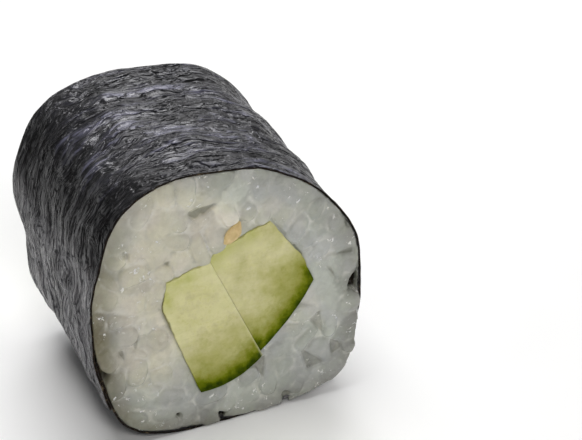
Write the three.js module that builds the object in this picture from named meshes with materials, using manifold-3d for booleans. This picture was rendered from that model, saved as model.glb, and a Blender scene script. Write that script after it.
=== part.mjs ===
// A cucumber maki roll lying on its side: one piece cut from a longer roll.
// A sheet of nori is wrapped once round a core of sushi rice, and its outer end laps over the inner one.
// Two sticks of cucumber with their peel on run through the rice, side by side.
// Millimetres, +Z up. The roll's axis lies along Y, and the front cut face looks towards -Y.
import * as THREE from "three";
import { mergeVertices } from "three/addons/utils/BufferGeometryUtils.js";
import Module from "manifold-3d";

const wasm = await Module();
wasm.setup();

// Driving dimensions. Angles are in degrees round the roll's axis, from +X towards +Z.
const rollLength = 29.2;
const rollRadius = 18;
const axisHeight = 17.75;
const fitGap = 0.2;

// The round section is pressed towards a square. Each lobe swells or flattens the outline round its
// angle, by one amount at the front cut face and another at the back one.
const sectionLobes = [
  { at: 51, front: -0.85, back: 0.7, spread: 44 },
  { at: 129, front: 2.2, back: 2.45, spread: 25 },
  { at: 188, front: 0, back: -1.7, spread: 16 },
  { at: 228, front: 2.4, back: 0.1, spread: 21 },
  { at: 316, front: 2.75, back: 2.5, spread: 20 },
];

// Soft dents and bulges where the wrap sags between the grains or is pressed by the hand.
const wrapDents = [
  { at: 34, along: 9, swell: -0.5, spread: 10, reach: 2.6 },
  { at: 66, along: 12, swell: 0.3, spread: 14, reach: 5 },
  { at: 98, along: 2, swell: -0.3, spread: 15, reach: 5 },
  { at: 132, along: -4, swell: 0.25, spread: 10, reach: 6 },
  { at: 160, along: 6, swell: -0.3, spread: 12, reach: 6 },
  { at: 217, along: 3.5, swell: -0.35, spread: 12, reach: 3 },
  { at: 224, along: -9.5, swell: 0.15, spread: 12, reach: 2.6 },
  { at: 345, along: -3, swell: -0.3, spread: 14, reach: 6 },
];
const rippleDepth = 0.07;

// The sheet starts at lapAt, goes once round and covers its own start for lapSweep degrees. Its outer
// end runs askew, by lapSkew degrees for each millimetre along the roll.
const nori = {
  thickness: 0.3, lapGap: 0.12, lapAt: 196, lapSweep: 29, lapSkew: 0.6, rise: 14, columns: 66, rows: 7,
};

// recess is how far the rice between the grains lies behind a cut face, and proud how far grains pass it.
const rice = { columns: 62, recess: 1, proud: 0.1, slack: 0.15, rimMargin: 1.05, slotMargin: 0.25 };
const grain = {
  width: 2.7, length: 4.6, sizeSpread: 0.14, sides: 6, rings: 4,
  spots: 132, jitter: 0.35, lyingShare: 0.78, cutShare: 0.6, tuck: 0.25,
  leastLyingDip: 58, mostStandingDip: 15,
};
const sesame = { width: 1.7, height: 1.2, length: 2.9, x: 0.9, z: 9.55, depth: 0.33, lean: 66 };
const sunflowerTurn = 137.508;

// Corners of the cucumber sticks' sections, as [x, z] from the roll's axis, counter-clockwise from the
// front. The first two are the ends of the peel, which bows outwards between them by the bow.
const sticks = [
  {
    name: "cucumber_stick_left",
    corners: [[-4.25, -12.4], [4.1, -9.2], [-2.8, 5.8], [-8.25, 4.2], [-9.05, 0.6]],
    bow: 0.95,
  },
  {
    name: "cucumber_stick_right",
    corners: [[4.3, -8.6], [11.15, -0.2], [9.95, 3.1], [5.4, 9.5], [-1.75, 7.1], [-2.45, 5.8]],
    bow: 0.5,
  },
];
const stickRun = { rows: 6, peelSteps: 6, drift: 0.6, turn: 2, overrun: 2 };

const noriBlack = new THREE.MeshStandardMaterial({ color: 0x2c2c2f, roughness: 0.5, metalness: 0 });
const riceWhite = new THREE.MeshStandardMaterial({ color: 0xdcdacb, roughness: 0.4, metalness: 0 });
const cucumberFlesh = new THREE.MeshStandardMaterial({ color: 0xc6c98a, roughness: 0.35, metalness: 0 });

const radians = THREE.MathUtils.degToRad;
const halfLength = rollLength / 2;

// A repeatable row of random numbers from 0 to 1.
function makeRandom(start) {
  let state = start;
  return () => {
    state = (state + 0x6d2b79f5) | 0;
    let mixed = Math.imul(state ^ (state >>> 15), 1 | state);
    mixed = (mixed + Math.imul(mixed ^ (mixed >>> 7), 61 | mixed)) ^ mixed;
    return ((mixed ^ (mixed >>> 14)) >>> 0) / 4294967296;
  };
}

// A smooth hump, 1 at offset 0 and nearly 0 past an offset of 2.
function hump(offset) {
  return Math.exp(-offset * offset);
}

// The turn from one angle to another, from -180 to 180 degrees.
function turnBetween(from, to) {
  return THREE.MathUtils.euclideanModulo(to - from + 180, 360) - 180;
}

// Distance from the axis to the outside of the wrap, without its lap.
function wrapRadius(angle, along) {
  let radius = rollRadius;
  for (const lobe of sectionLobes) {
    const swell = THREE.MathUtils.lerp(lobe.front, lobe.back, along / rollLength + 0.5);
    radius += swell * hump(turnBetween(lobe.at, angle) / lobe.spread);
  }
  for (const dent of wrapDents) {
    const round = turnBetween(dent.at, angle) / dent.spread;
    radius += dent.swell * hump(round) * hump((along - dent.along) / dent.reach);
  }
  const turn = radians(angle);
  const ripple = Math.sin(7 * turn + 0.5 * along) + Math.sin(12 * turn - 0.6 * along + 2);
  return radius + rippleDepth * ripple;
}

// A point at an angle and a distance from the roll's axis. The floor flattens what would go below it.
function pointOnRoll(angle, along, radius, lowest) {
  const x = radius * Math.cos(radians(angle));
  const z = axisHeight + radius * Math.sin(radians(angle));
  return [x, along, Math.max(z, lowest)];
}

// Moves every vertex of a geometry to where place(x, y, z) says.
function reshape(geometry, place) {
  const position = geometry.getAttribute("position");
  for (let i = 0; i < position.count; i++) {
    position.setXYZ(i, ...place(position.getX(i), position.getY(i), position.getZ(i)));
  }
  geometry.computeVertexNormals();
  return geometry;
}

// The sheet is made flat, as angle by thickness by length, and then rolled up round the rice. Only the
// last part of it runs askew and climbs onto its own start.
function makeNori() {
  const sweep = 360 + nori.lapSweep;
  const sheet = new THREE.BoxGeometry(sweep, nori.thickness, rollLength, nori.columns, 1, nori.rows);
  return reshape(sheet, (turn, layer, along) => {
    const share = turn / sweep + 0.5;
    const rolled = sweep * share + nori.lapSkew * along * share ** 4;
    const lapped = THREE.MathUtils.smoothstep(rolled, 360 - nori.rise, 360);
    const lift = lapped * (nori.thickness + nori.lapGap);
    const angle = nori.lapAt + rolled;
    const radius = wrapRadius(angle, along) - nori.thickness / 2 + layer + lift;
    return pointOnRoll(angle, along, radius, nori.thickness / 2 - layer);
  });
}

// A body of the wrap's inner shape between two places along the roll, held off the wrap by a gap.
function makeCore(columns, rows, front, back, gap) {
  const disc = new THREE.CircleGeometry(1, columns).getAttribute("position");
  const outline = [];
  for (let i = 1; i <= columns; i++) outline.push(new THREE.Vector2(disc.getX(i), disc.getY(i)));
  const prism = new THREE.ExtrudeGeometry(new THREE.Shape(outline), {
    depth: back - front, steps: rows, bevelEnabled: false,
  });
  return reshape(prism.rotateX(Math.PI / 2), (x, y, z) => {
    const along = back + y;
    const angle = THREE.MathUtils.radToDeg(Math.atan2(z, x));
    const radius = wrapRadius(angle, along) - nori.thickness - gap;
    return pointOnRoll(angle, along, radius, nori.thickness + gap);
  });
}

// The outline of a stick, its peel an arc between the first two corners, grown outwards by a margin.
function stickOutline(stick, margin) {
  const [first, second, ...others] = stick.corners.map(([x, z]) => new THREE.Vector2(x, z));
  const middle = first.clone().add(second).multiplyScalar(0.5);
  const outwards = new THREE.Vector2(second.y - first.y, first.x - second.x).normalize();
  const handle = middle.addScaledVector(outwards, 2 * stick.bow);
  const peel = new THREE.QuadraticBezierCurve(first, handle, second).getPoints(stickRun.peelSteps);
  const outline = [...peel, ...others];
  return outline.map((corner, i) => {
    const before = outline.at(i - 1);
    const after = outline[(i + 1) % outline.length];
    const inwards = new THREE.Vector2(corner.x - before.x, corner.y - before.y).normalize();
    const onwards = new THREE.Vector2(after.x - corner.x, after.y - corner.y).normalize();
    const side = new THREE.Vector2(inwards.y + onwards.y, -inwards.x - onwards.x);
    return corner.clone().addScaledVector(side, (2 * margin) / side.lengthSq());
  });
}

// A stick runs through the roll, drifting a little sideways and turning a little on its way back.
function makeStick(stick, margin, overrun) {
  const length = rollLength + 2 * overrun;
  const prism = new THREE.ExtrudeGeometry(new THREE.Shape(stickOutline(stick, margin)), {
    depth: length, steps: stickRun.rows, bevelEnabled: false,
  });
  return reshape(prism.rotateX(Math.PI / 2), (x, y, z) => {
    const along = length / 2 + y;
    const share = along / rollLength + 0.5;
    const turn = radians(stickRun.turn * share);
    const turnedX = x * Math.cos(turn) - z * Math.sin(turn) + stickRun.drift * share;
    const turnedZ = x * Math.sin(turn) + z * Math.cos(turn);
    return [turnedX, along, axisHeight + turnedZ];
  });
}

// True where a point of the section lies in a stick, or nearer to it than the margin.
function nearStick(x, z, margin) {
  return sticks.some((stick) => {
    const outline = stickOutline(stick, margin);
    return outline.every((corner, i) => {
      const next = outline[(i + 1) % outline.length];
      return (next.x - corner.x) * (z - corner.y) - (next.y - corner.y) * (x - corner.x) > 0;
    });
  });
}

// One grain, as a ball of few sides drawn out along its own Z, then turned and put in its place.
function makeGrain(width, height, length, turn, place) {
  const ball = new THREE.SphereGeometry(0.5, grain.sides, grain.rings).rotateX(Math.PI / 2);
  const matrix = new THREE.Matrix4().compose(
    place, new THREE.Quaternion().setFromEuler(turn), new THREE.Vector3(width, height, length));
  return ball.applyMatrix4(matrix);
}

// The grains that show at one cut face, spread evenly as seeds are in a sunflower's head. Most lie along
// the face, and the others stand and are cut flat. side is -1 at the front face and 1 at the back.
function makeFaceGrains(side, random) {
  const grains = [];
  for (let i = 0; i < grain.spots; i++) {
    const reach = Math.sqrt((i + 0.5) / grain.spots);
    const angle = THREE.MathUtils.euclideanModulo(i * sunflowerTurn * side, 360);
    const edge = wrapRadius(angle, side * halfLength) - nori.thickness - rice.rimMargin;
    const x = reach * edge * Math.cos(radians(angle)) + (random() - 0.5) * 2 * grain.jitter;
    const z = reach * edge * Math.sin(radians(angle)) + (random() - 0.5) * 2 * grain.jitter;
    const size = 1 + (random() - 0.5) * 2 * grain.sizeSpread;
    const lying = random() < grain.lyingShare;
    const [leastDip, mostDip] = lying ? [grain.leastLyingDip, 90] : [0, grain.mostStandingDip];
    const dip = radians(THREE.MathUtils.lerp(leastDip, mostDip, random()));
    const swing = random() * Math.PI * 2;
    const tuck = random() * grain.tuck;
    if (nearStick(x, z, rice.slotMargin)) continue;
    const width = grain.width * size;
    const length = grain.length * size;
    const halfDepth = 0.5 * Math.hypot(width * Math.sin(dip), length * Math.cos(dip));
    const sunk = halfDepth * (lying ? 1 : grain.cutShare);
    const y = side * (halfLength + rice.proud - tuck - sunk);
    const turn = new THREE.Euler(Math.PI / 2 - dip, swing, 0, "YXZ");
    grains.push(makeGrain(width, width, length, turn, new THREE.Vector3(x, y, axisHeight + z)));
  }
  return grains;
}

// The sesame seed pressed into the front face, above the right-hand stick.
function makeSeed() {
  const place = new THREE.Vector3(sesame.x, sesame.depth - halfLength, axisHeight + sesame.z);
  const turn = new THREE.Euler(0, radians(90 - sesame.lean), 0);
  return makeGrain(sesame.width, sesame.height, sesame.length, turn, place);
}

// A closed geometry as a solid for joining and cutting.
function solidOf(geometry) {
  const bare = new THREE.BufferGeometry().setAttribute("position", geometry.getAttribute("position"));
  if (geometry.index) bare.setIndex(geometry.index);
  const merged = mergeVertices(bare, 1e-4);
  return new wasm.Manifold(new wasm.Mesh({
    numProp: 3,
    vertProperties: merged.getAttribute("position").array,
    triVerts: new Uint32Array(merged.index.array),
  }));
}

// A joined or cut solid as a geometry again.
function geometryOf(solid) {
  const mesh = solid.getMesh();
  const geometry = new THREE.BufferGeometry()
    .setAttribute("position", new THREE.BufferAttribute(new Float32Array(mesh.vertProperties), 3))
    .setIndex(new THREE.BufferAttribute(new Uint32Array(mesh.triVerts), 1));
  geometry.computeVertexNormals();
  return geometry;
}

// The rice is a core, a little short of the cut faces, with the grains that show there fused on.
// What stands out past the wrap's inside or the cut is trimmed off, and the sticks' slot is cut through.
// A scrap that the slot leaves loose is dropped.
function makeRice() {
  const random = makeRandom(4127);
  const coreEnd = halfLength - rice.recess;
  const cutEnd = halfLength + rice.proud;
  let solid = solidOf(makeCore(rice.columns, nori.rows, -coreEnd, coreEnd, fitGap + rice.slack));
  const pieces = [...makeFaceGrains(-1, random), ...makeFaceGrains(1, random), makeSeed()];
  for (const piece of pieces) solid = solid.add(solidOf(piece));
  solid = solid.intersect(solidOf(makeCore(rice.columns, nori.rows, -cutEnd, cutEnd, fitGap)));
  for (const stick of sticks) solid = solid.subtract(solidOf(makeStick(stick, fitGap, stickRun.overrun)));
  const bodies = solid.decompose().sort((a, b) => b.volume() - a.volume());
  return geometryOf(bodies[0]);
}

const roll = new THREE.Group();

function addPiece(name, geometry, material) {
  const piece = new THREE.Mesh(geometry, material);
  piece.name = name;
  roll.add(piece);
}

addPiece("nori_wrap", makeNori(), noriBlack);
addPiece("rice", makeRice(), riceWhite);
for (const stick of sticks) addPiece(stick.name, makeStick(stick, 0, 0), cucumberFlesh);

// The origin is under the middle of the roll, on the surface that it lies on.
const extent = new THREE.Box3().setFromObject(roll, true);
const middle = extent.getCenter(new THREE.Vector3());
roll.position.set(-middle.x, -middle.y, -extent.min.z);

export default roll;
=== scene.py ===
import math
import random

import bmesh
import bpy
import numpy as np
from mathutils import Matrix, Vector, kdtree, noise


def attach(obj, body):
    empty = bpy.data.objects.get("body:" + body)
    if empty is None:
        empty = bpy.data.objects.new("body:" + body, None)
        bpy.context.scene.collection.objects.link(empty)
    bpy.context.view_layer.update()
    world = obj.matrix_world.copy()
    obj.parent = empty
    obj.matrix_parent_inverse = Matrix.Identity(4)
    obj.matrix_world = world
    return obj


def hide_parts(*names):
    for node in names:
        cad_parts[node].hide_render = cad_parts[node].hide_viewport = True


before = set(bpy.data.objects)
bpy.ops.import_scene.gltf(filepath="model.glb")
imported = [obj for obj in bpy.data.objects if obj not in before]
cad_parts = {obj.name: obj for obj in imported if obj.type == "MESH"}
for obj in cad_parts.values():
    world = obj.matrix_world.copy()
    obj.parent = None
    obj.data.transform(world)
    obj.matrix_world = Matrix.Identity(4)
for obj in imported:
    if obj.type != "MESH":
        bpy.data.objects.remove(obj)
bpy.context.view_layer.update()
print("frame loaded:", sorted(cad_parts))

mm = 0.001

# The roll's own form, in millimetres and degrees. Angles go from +X towards +Z round the axis.
# Lobes: angle, swell at the front face, swell at the back face, spread.
# Dents: angle, place along the roll, swell, spread, reach.
roll = {
    "length": 29.2,
    "radius": 18,
    "axisHeight": 17.75,
    "lobes": [
        (51, -0.85, 0.7, 44),
        (129, 2.2, 2.45, 25),
        (188, 0, -1.7, 16),
        (228, 2.4, 0.1, 21),
        (316, 2.75, 2.5, 20),
    ],
    "dents": [
        (34, 9, -0.5, 10, 2.6),
        (66, 12, 0.3, 14, 5),
        (98, 2, -0.3, 15, 5),
        (132, -4, 0.25, 10, 6),
        (160, 6, -0.3, 12, 6),
        (217, 3.5, -0.35, 12, 3),
        (224, -9.5, 0.15, 12, 2.6),
        (345, -3, -0.3, 14, 6),
    ],
    "ripple": 0.07,
    "bulgeAt": 306,     # lower right of the front face, where the rice swells over the sheet's rim
    "bulgeSpread": 34,
}
halfLength = roll["length"] / 2

nori = {
    "thickness": 0.24,
    "clearFloor": 0.09,
    "lapGap": 0.06,
    "lapAt": 196,       # where the sheet starts, and covers itself again
    "lapSweep": 29,
    "lapSkew": 0.6,     # degrees for each millimetre along the roll
    "rise": 14,         # degrees in which the outer end climbs over the inner one
    "columns": 396,
    "rows": 94,
    "swell": 0.45,      # slack places of the sheet
    "swellSize": 6.5,
    "swellDown": 0.15,  # they sink more than they swell
    "swellReach": 5,    # and fade out this close to the rims
    "lump": 0.3,        # grains that press through
    "lumpSize": 3.2,
    "wrinkle": 0.26,    # creases that run round the roll
    "wrinkleRun": 5,
    "wrinkleGap": 1.25,
    "wrinkleShare": 0.6,
    "fineShare": 0.7,   # finer creases among them,
    "fineRun": 2.1,     # this many times shorter
    "fineGap": 2.3,     # and closer
    "tight": 0.4,       # share of the relief that is left at the rims
    "tightReach": 1.6,
    "short": 0.5,       # how far the front rim is drawn back where the rice swells over it
    "shortReach": 3,
    "fray": 0.12,       # roughness of the knife cut at both rims
    "fraySize": 1.6,
    "frayShare": 0.015, # share of half the length that frays
    "rim": 0.3,         # how far from its end the sheet shows its cut edge
    "wetAndShade": [            # darker places, partly wetter sheet and partly painted shade, most along the ridge between the top and the left side: angle, place along the roll, amount, spread, reach
        (145, 0, 1, 21.5, 60),
        (70, -12, 0.8, 17, 5),
        (112, 11, 0.7, 9, 3.5),
        (196, -9, 0.5, 12, 3),
        (172, 9, 0.6, 12, 4),
        (214, 4, 0.6, 12, 5),
        (52, -4, 0.7, 16, 9),
    ],
}


def hump(offset):
    return np.exp(-offset * offset)


def turnBetween(start, end):
    return (end - start + 180) % 360 - 180


def wrapRadius(angle, along):
    radius = roll["radius"]
    share = along / roll["length"] + 0.5
    for at, front, back, spread in roll["lobes"]:
        radius = radius + (front + (back - front) * share) * hump(turnBetween(at, angle) / spread)
    for at, place, swell, spread, reach in roll["dents"]:
        radius = radius + swell * hump(turnBetween(at, angle) / spread) * hump((along - place) / reach)
    turn = np.radians(angle)
    ripple = np.sin(7 * turn + 0.5 * along) + np.sin(12 * turn - 0.6 * along + 2)
    return radius + roll["ripple"] * ripple


# 1 in the middle of the place where the rice swells over the sheet's rim
def overhangAt(angle):
    return hump(turnBetween(roll["bulgeAt"], angle) / roll["bulgeSpread"])


def smoothStep(value, low, high):
    share = np.clip((value - low) / (high - low), 0, 1)
    return share * share * (3 - 2 * share)


# The axis lies a little off the frame's middle, because the frame is centred on the box.
def findAxisX():
    angle, along = np.meshgrid(np.arange(0, 360, 0.25), np.linspace(-halfLength, halfLength, 60))
    across = wrapRadius(angle, along) * np.cos(np.radians(angle))
    return -(across.min() + across.max()) / 2


axisX = findAxisX()
print("axis at x = %.3f mm" % axisX)


# From millimetres off the axis and along the roll to the frame's metres
def toFrame(x, along, z):
    return Vector(((axisX + x) * mm, along * mm, (roll["axisHeight"] + z) * mm))


def addObject(name, data):
    obj = bpy.data.objects.new(name, data)
    bpy.context.scene.collection.objects.link(obj)
    return obj


def makeObject(name, bm, material):
    mesh = bpy.data.meshes.new(name)
    bm.to_mesh(mesh)
    bm.free()
    mesh.materials.append(material)
    mesh.polygons.foreach_set("use_smooth", [True] * len(mesh.polygons))
    return addObject(name, mesh)


def dress(obj, node):
    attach(obj, "root")
    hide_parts(node)


# A material's node tree, and small helpers that add to it
class Shader:
    def __init__(self, name):
        self.material = bpy.data.materials.new(name)
        self.material.use_nodes = True
        self.tree = self.material.node_tree
        self.bsdf = self.tree.nodes["Principled BSDF"]
        self.coords = self.node("TexCoord", {})["Object"]

    # Links a socket to an input, or sets the input to a constant
    def put(self, target, value):
        if isinstance(value, bpy.types.NodeSocket):
            self.tree.links.new(value, target)
        else:
            target.default_value = value

    def node(self, kind, inputs, **settings):
        node = self.tree.nodes.new("ShaderNode" + kind)
        for key, value in settings.items():
            setattr(node, key, value)
        for key, value in inputs.items():
            self.put(node.inputs[key], value)
        return node.outputs

    def place(self, axis):
        return self.node("SeparateXYZ", {0: self.coords})[axis]

    def attribute(self, name):
        return self.node("Attribute", {}, attribute_name=name)["Fac"]

    # Coordinates that sway by a soft noise
    def sway(self, waves, reach, source=None):
        push = self.node("TexNoise", {"Vector": self.coords, "Scale": waves, "Detail": 2})["Color"]
        inputs = {0: push, 1: (reach, reach, reach), 2: source or self.coords}
        return self.node("VectorMath", inputs, operation="MULTIPLY_ADD")["Vector"]

    # Noise with so many waves for each metre, the same in all directions or one number for each
    def noise(self, waves, detail=3, rough=0.5, turn=(0, 0, 0), source=None):
        waves = waves if isinstance(waves, tuple) else (waves, waves, waves)
        inputs = {"Vector": source or self.coords, "Rotation": turn, "Scale": waves}
        stretched = self.node("Mapping", inputs)["Vector"]
        inputs = {"Vector": stretched, "Scale": 1, "Detail": detail, "Roughness": rough}
        return self.node("TexNoise", inputs)["Fac"]

    def remap(self, value, low, high, start=0, end=1):
        inputs = {"Value": value, "From Min": low, "From Max": high, "To Min": start, "To Max": end}
        return self.node("MapRange", inputs, interpolation_type="SMOOTHSTEP")["Result"]

    def maths(self, operation, first, second=0):
        return self.node("Math", {0: first, 1: second}, operation=operation)[0]

    def times(self, first, second):
        return self.maths("MULTIPLY", first, second)

    def plus(self, first, second):
        return self.maths("ADD", first, second)

    # Valleys where a noise crosses its middle: 0 on the line, 1 from a given distance on
    def valleys(self, value, width):
        return self.remap(self.maths("ABSOLUTE", self.plus(value, -0.5)), 0, width)

    def mix(self, factor, first, second, blend="MIX"):
        first, second = ((*c, 1) if isinstance(c, tuple) else c for c in (first, second))
        return self.node("Mix", {0: factor, 6: first, 7: second}, data_type="RGBA", blend_type=blend)[2]

    def ramp(self, value, stops):
        node = self.tree.nodes.new("ShaderNodeValToRGB")
        self.put(node.inputs["Fac"], value)
        while len(node.color_ramp.elements) < len(stops):
            node.color_ramp.elements.new(0.5)
        for element, (place, colour) in zip(node.color_ramp.elements, stops):
            element.position = place
            element.color = (*colour, 1)
        return node.outputs["Color"]

    def bump(self, height, depth, strength=1, under=None):
        inputs = {"Height": height, "Distance": depth, "Strength": strength}
        if under is not None:
            inputs["Normal"] = under
        return self.node("Bump", inputs)["Normal"]

    def finish(self, colour, rough, normal, **others):
        values = {"Base Color": colour, "Roughness": rough, "Normal": normal, **others}
        for name, value in values.items():
            self.put(self.bsdf.inputs[name.replace("_", " ")], value)
        return self.material


# Soaked seaweed: near black and glossy, shrunk into streaks and pillows that run round the roll, with short
# folds painted near black as shade and painted shade in the hollows between them, and a grey film in clouds
# and bands, partly dull and partly painted sheen; darker where the sheet is wetter, and painted shade on the
# ridge
def noriMaterial():
    s = Shader("nori")
    drift = s.sway(110, 0.005)
    sway = s.sway(330, 0.0012, drift)
    broken = s.sway(850, 0.0009, sway)
    pillows = s.valleys(s.noise((90, 330, 90), rough=0.6, source=sway), 0.12)
    ribs = s.valleys(s.noise((260, 720, 260), detail=2, rough=0.6, source=broken), 0.08)
    fibres = s.noise((420, 1500, 420), detail=4, rough=0.7, turn=(0, 0, 0.1), source=broken)
    clouds = s.noise((90, 120, 90), detail=4, rough=0.6, source=drift)
    streaks = s.noise((80, 520, 80), rough=0.6, source=sway)
    bands = s.noise((60, 200, 60), detail=2, source=drift)
    flat = s.valleys(s.noise((170, 560, 170), detail=2, source=sway), 0.03)
    shadedFolds = s.times(s.maths("SUBTRACT", 1, flat), s.remap(clouds, 0.66, 0.5))
    wetAndShade = s.attribute("wetAndShade")
    # Painted shade in the hollows between the pillows and ribs: the film is darker there
    hollowShade = s.times(s.remap(pillows, 0, 1, 0.15, 1), s.remap(ribs, 0, 1, 0.4, 1))
    # The grey film in streaks, clouds and bands is partly painted sheen
    film = s.times(s.remap(fibres, 0.4, 0.6, 0.15, 1), s.remap(clouds, 0.4, 0.58, 0.12, 1))
    film = s.times(film, s.remap(streaks, 0.44, 0.56, 0.2, 1.9))
    film = s.times(film, s.remap(bands, 0.42, 0.58, 0.25, 1.9))
    # Darker where the sheet is wetter, and painted shade along the ridge between the top and the left side
    film = s.times(s.times(film, hollowShade), s.remap(wetAndShade, 0, 1, 1, 0.03))
    # Painted sheen: the film is lighter and greyer low on the sides, darker and bluer on the top
    sheenFilmColour = s.remap(s.place("Z"), 0.024, 0.034)
    sheenFilmColour = s.ramp(sheenFilmColour, [(0, (0.23, 0.22, 0.22)), (1, (0.125, 0.124, 0.18))])
    colour = s.mix(film, (0.004, 0.004, 0.004), sheenFilmColour)
    # Painted shade in the folds: the film gives way to near black
    colour = s.mix(shadedFolds, colour, (0.002, 0.0015, 0.001))
    rough = s.plus(s.remap(fibres, 0.35, 0.65, 0.25, 0.4), s.times(shadedFolds, 0.4))
    height = s.plus(s.plus(pillows, s.times(ribs, 0.25)), s.times(fibres, 0.28))
    normal = s.bump(s.times(height, s.remap(wetAndShade, 0, 1, 1, 0.4)), 0.001)
    normal = s.bump(s.maths("SUBTRACT", 1, shadedFolds), 0.00015, under=normal)
    gleam = s.times(s.remap(wetAndShade, 0.35, 0.85, 0.6, 0.12), s.remap(bands, 0.42, 0.58, 0.8, 1.35))
    return s.finish(colour, rough, normal, IOR=1.6, Specular_IOR_Level=gleam,
                    Specular_Tint=(0.94, 0.93, 1, 1), Sheen_Weight=0.01, Sheen_Roughness=0.4,
                    Sheen_Tint=(0.75, 0.74, 0.85, 1))


# The sheet's cut edge: matt brown black, with tan flecks that are partly frayed fibres and partly painted
# glints
def noriCutMaterial():
    s = Shader("noriCut")
    grit = s.noise(1500)
    colour = s.ramp(grit, [
        (0.35, (0.004, 0.002, 0.001)),
        (0.6, (0.015, 0.009, 0.005)),
        (0.72, (0.13, 0.1, 0.06)),
    ])
    return s.finish(colour, 0.7, s.bump(grit, 0.0001, 0.8), IOR=1.4, Specular_IOR_Level=0.15)


# Warmer and lighter in the middle, on the left and higher up, partly a real tint and partly painted warm
# light;
# cooler and greyer on the right, and at the rim, where painted shade lies; browner near the wrap, most on
# the left
def riceColour(s):
    rim = s.attribute("rim")
    patches = s.noise(150, detail=2)
    # Painted warm light, partly a real tint: warmer and lighter on the left and higher up, cooler at the rim
    warmAndLit = s.plus(s.remap(s.place("X"), 0.012, -0.012), s.remap(patches, 0.3, 0.7, -0.35, 0.35))
    warmAndLit = s.times(warmAndLit, s.remap(s.place("Z"), 0.004, 0.014))
    warmAndLit = s.maths("SUBTRACT", warmAndLit, s.times(rim, 0.4))
    colour = s.ramp(warmAndLit, [(0, (0.52, 0.54, 0.51)), (1, (0.69, 0.66, 0.555))])
    # Painted shade near the wrap, with less of it at the top
    rimShade = s.times(rim, s.remap(patches, 0.25, 0.75, 0.86, 0.46))
    rimShade = s.times(rimShade, s.remap(s.place("Z"), 0.024, 0.03, 1, 0.42))
    colour = s.mix(rimShade, colour, (0.28, 0.284, 0.252))
    # Darker brown-olive near the wrap, most on the left
    brownNearWrap = s.times(s.attribute("brownNearWrap"), s.remap(patches, 0.25, 0.75, 1, 0.6))
    return s.mix(brownNearWrap, colour, (0.2, 0.18, 0.11))


# Cooked rice: milky and translucent, mottled, with painted light in some grooves, painted glints as bright
# specks, painted shade in the other grooves and in the gaps, and painted light towards the top
def riceMaterial():
    s = Shader("sushiRice")
    drift = s.sway(700, 0.0012)
    mottle = s.noise(800, detail=4, rough=0.6, source=drift)
    tone = s.times(s.remap(s.attribute("tone"), 0, 1, 0.84, 1.08), s.remap(mottle, 0.3, 0.7, 0.93, 1.06))
    # Painted light: lighter towards the top
    tone = s.times(tone, s.remap(s.place("Z"), 0.02, 0.029, 1, 1.12))
    colour = s.mix(1, riceColour(s), tone, "MULTIPLY")
    cast = s.remap(s.noise(260, detail=2), 0.38, 0.62)
    cast = s.mix(cast, (1, 0.985, 1), (0.995, 1, 0.955))
    colour = s.mix(1, colour, cast, "MULTIPLY")
    groove = s.attribute("groove")
    pick = s.noise(430)
    # Painted light in some grooves; painted shade in the others below
    grooveLight = s.times(groove, s.remap(pick, 0.42, 0.56, 0.12, 0.57))
    colour = s.mix(grooveLight, colour, (0.87, 0.86, 0.79))
    shade = s.times(groove, s.remap(pick, 0.47, 0.38, 0, 0.4))
    colour = s.mix(shade, colour, (0.34, 0.345, 0.31))
    # Painted glints: bright white specks in clusters, which are also bumped
    glintSpecks = s.remap(s.noise(1100, detail=4, rough=0.7, source=drift), 0.6, 0.66)
    glintSpecks = s.times(glintSpecks, s.remap(s.noise(210, detail=2), 0.5, 0.56))
    colour = s.mix(glintSpecks, colour, (1, 1, 0.98))
    # Painted shade in the gaps, near black in the deepest
    gap = s.attribute("gap")
    shadow = s.mix(1, colour, (0.62, 0.62, 0.58), "MULTIPLY")
    colour = s.mix(s.remap(gap, 0, 0.5), colour, shadow)
    colour = s.mix(s.remap(gap, 0.6, 1), colour, (0.022, 0.016, 0.01))
    waves = s.noise(420)
    creases = s.valleys(s.noise(360, detail=1), 0.1)
    grit = s.noise(1600, detail=4, rough=0.6)
    normal = s.bump(s.plus(waves, s.times(creases, 0.15)), 0.0004, 0.7)
    normal = s.bump(s.plus(grit, glintSpecks), 0.00009, 0.8, normal)
    return s.finish(colour, s.remap(waves, 0.35, 0.65, 0.12, 0.32), normal, IOR=1.42, Subsurface_Weight=0.8,
                    Subsurface_Radius=(1.0, 0.95, 0.8), Subsurface_Scale=0.00035)


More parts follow.
